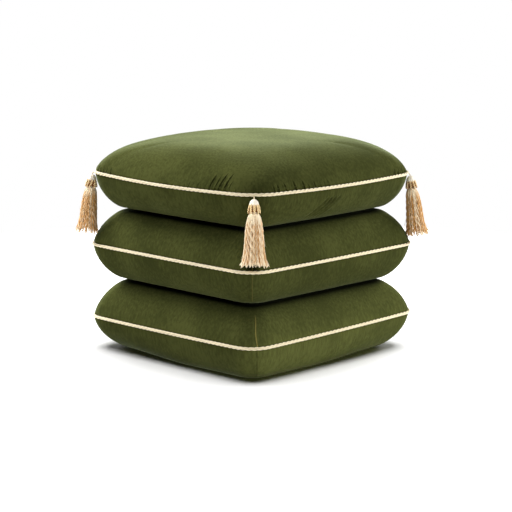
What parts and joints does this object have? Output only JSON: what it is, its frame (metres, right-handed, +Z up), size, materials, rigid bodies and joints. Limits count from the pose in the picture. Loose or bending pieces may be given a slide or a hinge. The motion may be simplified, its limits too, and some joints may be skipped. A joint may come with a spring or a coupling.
{
  "type": "cube pouf stool",
  "caption": "Square pouf stool of stacked velvet cushions, each edged with rope piping, with thread tassels at the top cushion's corners.",
  "frame": {"origin": "centre of the footprint, on the floor under the stack", "axes": "+Z up; the cushions' sides lie along X and Y, and the corner towards +X and -Y faces the viewer"},
  "size_m": [0.4874, 0.4874, 0.4008],
  "materials": {
    "velvet": "olive green cotton velvet with a short pile and a pale sheen at grazing angles",
    "rope_piping": "twisted cream viscose rope",
    "tassel_thread": "lustrous gold-beige viscose thread",
    "looped_thread": "looped gold-beige thread",
    "tassel_cord": "thin twisted cream cord"
  },
  "bodies": {
    "root": {"cushion_bottom": "velvet", "cushion_middle": "velvet", "cushion_top": "velvet", "piping_bottom": "rope_piping", "piping_middle": "rope_piping", "piping_top": "rope_piping", "tassel_near": "tassel_thread", "tassel_right": "tassel_thread", "tassel_far": "tassel_thread", "tassel_left": "tassel_thread", "tassel_ruff_near": "looped_thread", "tassel_ruff_right": "looped_thread", "tassel_ruff_far": "looped_thread", "tassel_ruff_left": "looped_thread", "tassel_hanger_near": "tassel_cord", "tassel_hanger_right": "tassel_cord", "tassel_hanger_far": "tassel_cord", "tassel_hanger_left": "tassel_cord"}
  },
  "joints": []
}
